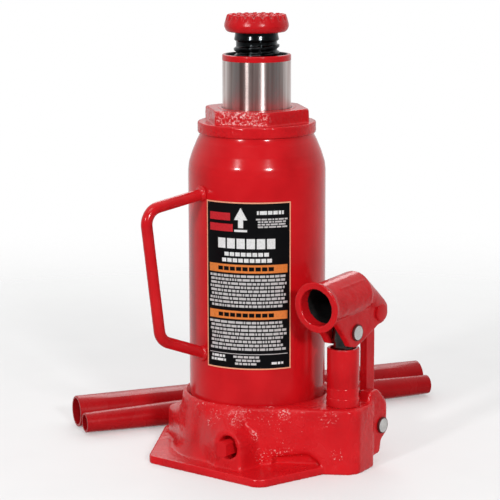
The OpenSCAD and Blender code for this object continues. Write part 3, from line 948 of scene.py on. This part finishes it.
def build_lever():
    """The back of the socket's collar is coned, and a web closes the back down to the upper pin."""
    made = copy_of("lever_body", "lever_socket")
    mount = mounts["handle_socket"]
    out = Vector(mount["axis"])
    mouth = Vector(mount["pos_m"]) / MM + out * mount["dims"]["length_mm"] / 2
    bore_r = mount["dims"]["r_mm"]
    socket = Matrix.Translation(mouth) @ (-out).to_track_quat("Z", "Y").to_matrix().to_4x4()

    web = bmesh.new()
    rim_r = 11.6
    boss_r = 6.6
    half_width = 8.8
    raised = Vector((0, 0.6, 0.8))
    rim = [socket @ Vector((rim_r * math.cos(a), rim_r * math.sin(a), depth))
           for depth in (34, 37.5) for a in [2 * math.pi * k / 32 for k in range(32)]]
    boss = [Vector((pump.x + x, top_pin.y + boss_r * math.cos(a), top_pin.z + boss_r * math.sin(a))) + raised
            for x in (-half_width, half_width) for a in [math.radians(k) for k in range(-20, 161, 15)]]
    add_hull(web, [corner for corner in rim if corner.z > mouth.z - 1] + boss)
    add_to(made, web)

    # the collar's cone, the room for the link's upper end and the hole for its pin
    knives = bmesh.new()
    add_lathe(knives, [(bore_r + 3.9, 1.2), (bore_r + 6, 0.5), (bore_r + 6, 6), (bore_r + 1.75, 6),
                       (bore_r + 1.75, 4.6)], socket)
    for r, length, start_x, segments in ((7.3, 6, pump.x - 3, 64), (3.05, 40, pump.x - 20, 48)):
        add_lathe(knives, [(0, 0), (r, 0), (r, length), (0, length)], along_x(start_x, top_pin.y, top_pin.z),
                  segments, closed=False)
    cut(made, knives)
    remesh(made, 0.45, 10, 0.5)
    roughen(made, 0.10, 4.0, None, 8.0)

    def choose(place, normal):
        """Beyond its red mouth the bore is painted dark, as shade."""
        inside = socket.inverted() @ place
        return 1 if math.hypot(inside.x, inside.y) < bore_r + 0.4 and 7 < inside.z < 34.6 else 0

    finish_piece(made, "lever", [thick_paint, bore_painted_shade], "lever_socket", angle=None)
    assign(made, choose)


def build_link():
    made = copy_of("link_bar", "pump_link")
    remesh(made, 0.4, 3, 0.5)
    roughen(made, 0.08, 3.0, None, 3.0)
    finish_piece(made, "link", [thick_paint], "pump_link", angle=None)


def build_pin(name, node, body, slot, look, dimple):
    """A headed pin along X. dimple is how far the middle of its head lies in, or out if it is negative."""
    low, high = box(node)
    place = middle(node)
    shank_r = 3
    head_r = (high.z - low.z) / 2
    length = high.x - low.x
    head = length - 1.4
    profile = rounded([(0, 0), (shank_r, 0), (shank_r, head), (head_r, head), (head_r, length),
                       (0, length - dimple)], [0, 0.5, 0.2, 0.3, 0.8, 0])
    bm = bmesh.new()
    add_lathe(bm, profile, along_x(low.x, place.y, place.z), 64, closed=False)
    made = piece(name, bm)
    finish_piece(made, body, [look, pin_shadow], node)
    if slot == "zinc_steel":
        # a painted shadow, dark red, rings the bright head
        assign(made, lambda spot, normal: int(math.hypot(spot.y - place.y, spot.z - place.z) > head_r - 0.6))


def build_pump_cylinder():
    """The collar hides the gasket, and a shallow turned line runs round the barrel above it."""
    foot, top = pump_low.z, pump_high.z
    seat = deck + 1
    outside = rounded([(7.45, foot), (7.45, seat), (9.03, seat), (9.03, deck + 0.1), (9.3, deck + 0.1),
                       (9.3, seat + 3.5), (9.0, seat + 4), (9.0, seat + 9.2), (8.9, seat + 9.4),
                       (9.0, seat + 9.6), (9.0, top), (7.3, top)],
                      [0, 0, 0, 0, 0.1, 0.5, 0.3, 0, 0, 0, 1.1, 0.4], steps=4)
    inside = [(7.3, top - 6), (5.55, top - 6), (5.55, foot)]
    bm = bmesh.new()
    add_lathe(bm, outside + inside, Matrix.Translation((pump.x, 0, 0)), 128)
    made = piece("pump_barrel", bm)
    finish_piece(made, "base", [tank_paint], "pump_cylinder")


build_lever()
build_link()
build_pin("fork_pin", "plunger_pin", "lever", "zinc_steel", zinc_steel, 0.35)
build_pin("upper_link_pin", "link_top_pin", "lever", "tank_paint", thick_paint, -0.3)
build_pin("lower_link_pin", "link_base_pin", "base", "zinc_steel", zinc_steel, 0.35)
build_pump_cylinder()


# ---------------------------------------------------------------- loose handle tubes

def build_tube(name, node, body, r, wall, end_r, neck):
    """A tube that lies on the floor, along the CAD node's longest way.

    Its ends are drawn in to the radius end_r, over the length neck.
    """
    places = np.array([v.co for v in frame["nodes"][node].data.vertices]) / MM
    centre = Vector(places.mean(0))
    centre.z = r
    way = Vector(np.linalg.svd(places - places.mean(0), full_matrices=False)[2][0])
    way = (way if way.x > 0 else -way).normalized()
    half = float(np.abs((places - places.mean(0)) @ np.array(way)).max())
    outside = rounded([(end_r, -half), (r, -half + neck), (r, half - neck), (end_r, half)], [0, 30, 30, 0],
                      steps=8)
    # both ends have a small chamfer
    chamfer = 0.35
    inner_end = half - chamfer
    outside = [(end_r - chamfer, -half), *[(a, max(-inner_end, min(inner_end, z))) for a, z in outside],
               (end_r - chamfer, half)]
    inside = [(end_r - wall, half), (end_r - wall, half - neck), (r - wall, half - neck - 6),
              (r - wall, -half + neck + 6), (end_r - wall, -half + neck), (end_r - wall, -half)]
    bm = bmesh.new()
    turn = way.to_track_quat("Z", "Y").to_matrix().to_4x4()
    add_lathe(bm, outside + inside, Matrix.Translation(centre) @ turn, 96)
    made = piece(name, bm)
    finish_piece(made, body, [shaded_tube_paint], node)


build_tube("wide_handle_tube", "handle_wide_tube", "wide_tube", r=9.3, wall=1.4, end_r=9.3, neck=20)
build_tube("slim_handle_tube", "handle_slim_tube", "slim_tube", r=7.2, wall=1.2, end_r=5.9, neck=57)


# ---------------------------------------------------------------- camera, light and floor

def build_camera():
    """The camera that was fitted to the rims of the tank, the flange, the ram and the boss."""
    camera = bpy.data.objects.new("camera", bpy.data.cameras.new("camera"))
    bpy.context.scene.collection.objects.link(camera)
    bpy.context.scene.camera = camera
    camera.data.sensor_width = 36
    camera.data.lens = 143.06
    camera.data.clip_end = 20
    place = Matrix.Translation((0.678606, -0.868578, 0.325960))
    heading = Matrix.Rotation(math.radians(38.207), 4, "Z")
    tilt = Matrix.Rotation(math.radians(79.27), 4, "X")
    roll = Matrix.Rotation(math.radians(-0.166), 4, "Z")
    camera.matrix_world = place @ heading @ tilt @ roll


def build_light(name, azimuth, elevation, distance, size, power):
    """A soft box that faces the jack. Azimuth is measured from +X towards +Y."""
    lamp = bpy.data.lights.new(name, "AREA")
    lamp.shape = "RECTANGLE"
    lamp.size, lamp.size_y = size
    lamp.energy = power
    holder = bpy.data.objects.new(name, lamp)
    bpy.context.scene.collection.objects.link(holder)
    a, e = math.radians(azimuth), math.radians(elevation)
    away = Vector((math.cos(a) * math.cos(e), math.sin(a) * math.cos(e), math.sin(e)))
    aim = Vector((0, 0, 0.13))
    holder.location = aim + away * distance
    holder.rotation_euler = away.to_track_quat("Z", "Y").to_euler()


def smooth_step(tree, source, start, end, low, high):
    """A number that goes softly from low, where the source is start, to high, where it is end."""
    node = tree.nodes.new("ShaderNodeMapRange")
    node.interpolation_type = "SMOOTHSTEP"
    for name, value in (("From Min", start), ("From Max", end), ("To Min", low), ("To Max", high)):
        node.inputs[name].default_value = value
    tree.links.new(source, node.inputs["Value"])
    return node.outputs["Result"]


def build_world():
    """White to the camera. As light it is bright behind the jack and above it, and dim in front of it."""
    world = bpy.data.worlds.new("studio")
    bpy.context.scene.world = world
    world.use_nodes = True
    tree = world.node_tree
    soft = tree.nodes["Background"]
    soft.inputs["Strength"].default_value = 1.0
    towards = tree.nodes.new("ShaderNodeVectorMath")
    towards.operation = "DOT_PRODUCT"
    towards.inputs[1].default_value = (-0.55, 0.70, 0.45)
    tree.links.new(tree.nodes.new("ShaderNodeTexCoord").outputs["Generated"], towards.inputs[0])
    brightness = smooth_step(tree, towards.outputs["Value"], -0.35, 0.75, 0.13, 0.70)
    tree.links.new(brightness, soft.inputs["Color"])
    white = tree.nodes.new("ShaderNodeBackground")
    white.inputs["Color"].default_value = (1, 1, 1, 1)
    path = tree.nodes.new("ShaderNodeLightPath")
    mix = tree.nodes.new("ShaderNodeMixShader")
    tree.links.new(path.outputs["Is Camera Ray"], mix.inputs[0])
    tree.links.new(soft.outputs[0], mix.inputs[1])
    tree.links.new(white.outputs[0], mix.inputs[2])
    tree.links.new(mix.outputs[0], tree.nodes["World Output"].inputs["Surface"])


def build_floor():
    """Pale paper that fades out into the white round it, and isn't mirrored in the paint."""
    bm = bmesh.new()
    bmesh.ops.create_circle(bm, cap_ends=True, radius=900, segments=96)
    floor = piece("floor", bm)
    look = Look("floor_paper")
    look.link(look.ramp(look.noise(60, 2), [(0.3, 0.96), (0.7, 0.99)]), look.shader.inputs["Base Color"])
    look.set(Roughness=0.9)
    reach = look.tree.nodes.new("ShaderNodeVectorMath")
    reach.operation = "LENGTH"
    look.link(look.place, reach.inputs[0])
    opacity = smooth_step(look.tree, reach.outputs["Value"], 0.20, 0.75, 0.7, 0.0)
    look.link(opacity, look.shader.inputs["Alpha"])
    floor.data.materials.append(look.material)
    floor.visible_glossy = False


def build_studio():
    build_light("right_box", azimuth=-31.5, elevation=20, distance=1.7, size=(0.19, 0.14), power=10)
    build_light("left_box", azimuth=-86, elevation=20, distance=1.7, size=(0.14, 0.13), power=8.5)
    build_light("top_box", azimuth=-62, elevation=58, distance=1.7, size=(1.0, 0.6), power=4.5)
    build_light("back_box", azimuth=130, elevation=35, distance=2.2, size=(1.0, 1.0), power=8)
    bpy.context.scene.view_settings.view_transform = "Standard"
    build_world()
    build_floor()


build_camera()
build_studio()
